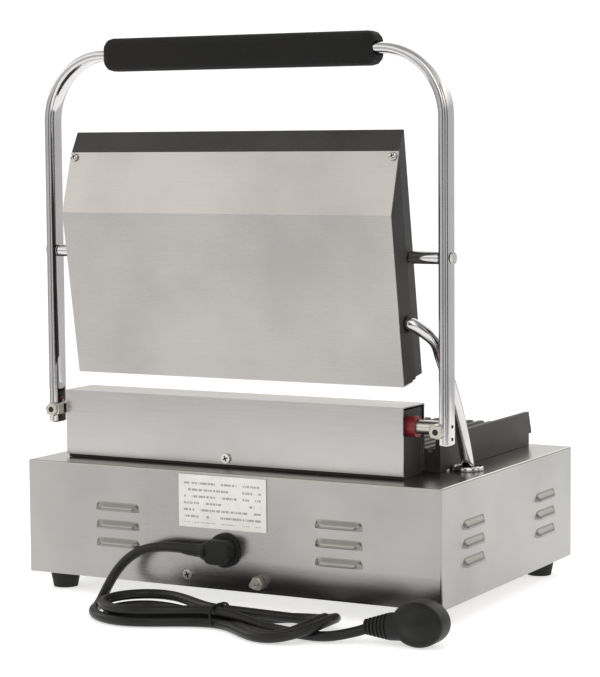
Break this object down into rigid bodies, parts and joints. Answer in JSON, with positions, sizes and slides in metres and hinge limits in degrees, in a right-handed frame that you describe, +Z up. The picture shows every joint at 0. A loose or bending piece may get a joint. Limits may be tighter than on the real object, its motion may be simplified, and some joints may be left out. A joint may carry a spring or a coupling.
{
  "type": "panini press",
  "caption": "Counter-top contact grill with a hinged ribbed upper plate on a flat-oval U handle, a stainless base with controls and drip tray, and a mains lead.",
  "frame": {"origin": "under the middle of the base, on the surface the feet stand on", "axes": "+Z up, the front with its controls faces -Y, and the wiring conduit is on the -X side"},
  "size_m": [0.4405, 0.4093, 0.4932],
  "materials": {
    "brushed_steel": "satin brushed stainless sheet",
    "chrome": "polished chrome plate",
    "screw_steel": "bright nickel plated fasteners",
    "zinc": "yellowish zinc plate, satin",
    "cast_iron": "seasoned black cast iron",
    "black_enamel": "satin black enamel on sheet steel",
    "black_plastic": "matte black moulded plastic",
    "black_rubber": "matte black rubber",
    "cord_pvc": "semi-gloss black cable sheath",
    "crimson_plastic": "dark crimson nylon",
    "label_foil": "satin silver foil",
    "amber_lens": "clear amber plastic",
    "green_lens": "clear green plastic",
    "ceramic": "unglazed cream ceramic",
    "insulation_fibre": "pale mineral fibre blanket",
    "heater_sheath": "oxidised steel sheath"
  },
  "bodies": {
    "base": {"base_screw_rear": "screw_steel", "base_shell": "brushed_steel", "bonding_nut": "zinc", "bonding_stud": "zinc", "bottom_cover": "brushed_steel", "cable_gland": "black_plastic", "conduit_rosette": "chrome", "cord_hank": "cord_pvc", "cord_lead": "cord_pvc", "cord_tail": "cord_pvc", "counter_spring_left": "zinc", "counter_spring_right": "zinc", "foot_front_left": "black_rubber", "foot_front_right": "black_rubber", "foot_rear_left": "black_rubber", "foot_rear_right": "black_rubber", "gland_nut": "black_plastic", "hinge_bush_left": "crimson_plastic", "hinge_bush_right": "crimson_plastic", "lamp_heat": "amber_lens", "lamp_power": "green_lens", "lower_griddle": "cast_iron", "lower_heat_shield": "brushed_steel", "lower_heater": "heater_sheath", "plug": "black_plastic", "rating_plate": "label_foil", "rear_box_cover": "brushed_steel", "rear_box_frame": "black_enamel", "rear_box_screw": "screw_steel", "switch_frame": "black_plastic", "terminal_block": "ceramic", "thermostat": "ceramic"},
    "handle": {"handle_tube": "chrome", "handle_grip": "black_plastic", "pivot_spacer_left": "chrome", "pivot_spacer_right": "chrome", "pivot_screw_left": "screw_steel", "pivot_screw_right": "screw_steel", "hinge_shaft": "zinc", "hinge_lever_left": "zinc", "hinge_lever_right": "zinc", "lever_bolt_left": "zinc", "lever_bolt_right": "zinc"},
    "upper_head": {"upper_housing": "black_enamel", "upper_cover": "brushed_steel", "upper_griddle": "cast_iron", "upper_heater": "heater_sheath", "upper_heat_shield": "brushed_steel", "insulation_pad": "insulation_fibre", "cover_screw_left": "screw_steel", "cover_screw_right": "screw_steel", "conduit_grommet": "black_rubber"},
    "conduit": {"conduit_tube": "chrome"},
    "drip_tray": {"drip_tray": "brushed_steel"},
    "thermostat_knob": {"thermostat_knob": "black_plastic"},
    "switch_rocker": {"switch_rocker": "crimson_plastic"}
  },
  "joints": [
    {"name": "handle_lift", "type": "hinge", "parent": "base", "child": "handle", "pos_m": [0, 0.1, 0.162], "axis": [1, 0, 0], "range_deg": [0, 96.1], "stiffness_Nm_per_rad": 4.5},
    {"name": "plate_tilt", "type": "hinge", "parent": "handle", "child": "upper_head", "pos_m": [0, 0.11, 0.305], "axis": [1, 0, 0], "range_deg": [0, 3.12]},
    {"name": "conduit_swing", "type": "hinge", "parent": "upper_head", "child": "conduit", "pos_m": [-0.1615, 0.116, 0.2495], "axis": [1, 0, 0], "range_deg": [-36.57, 0]},
    {"name": "tray_slide", "type": "slide", "parent": "base", "child": "drip_tray", "axis": [0, -1, 0], "range_m": [0, 0.12]},
    {"name": "thermostat_turn", "type": "hinge", "parent": "base", "child": "thermostat_knob", "pos_m": [0.15, -0.1433, 0.068], "axis": [0, -1, 0], "range_deg": [0, 270]},
    {"name": "switch_rock", "type": "hinge", "parent": "base", "child": "switch_rocker", "pos_m": [-0.15, -0.1435, 0.068], "axis": [-1, 0, 0], "range_deg": [0, 20]}
  ],
  "couplings": [
    {"joint": "plate_tilt", "follows": "handle_lift", "ratio": 0.03226},
    {"joint": "conduit_swing", "follows": "handle_lift", "ratio": -0.38}
  ]
}
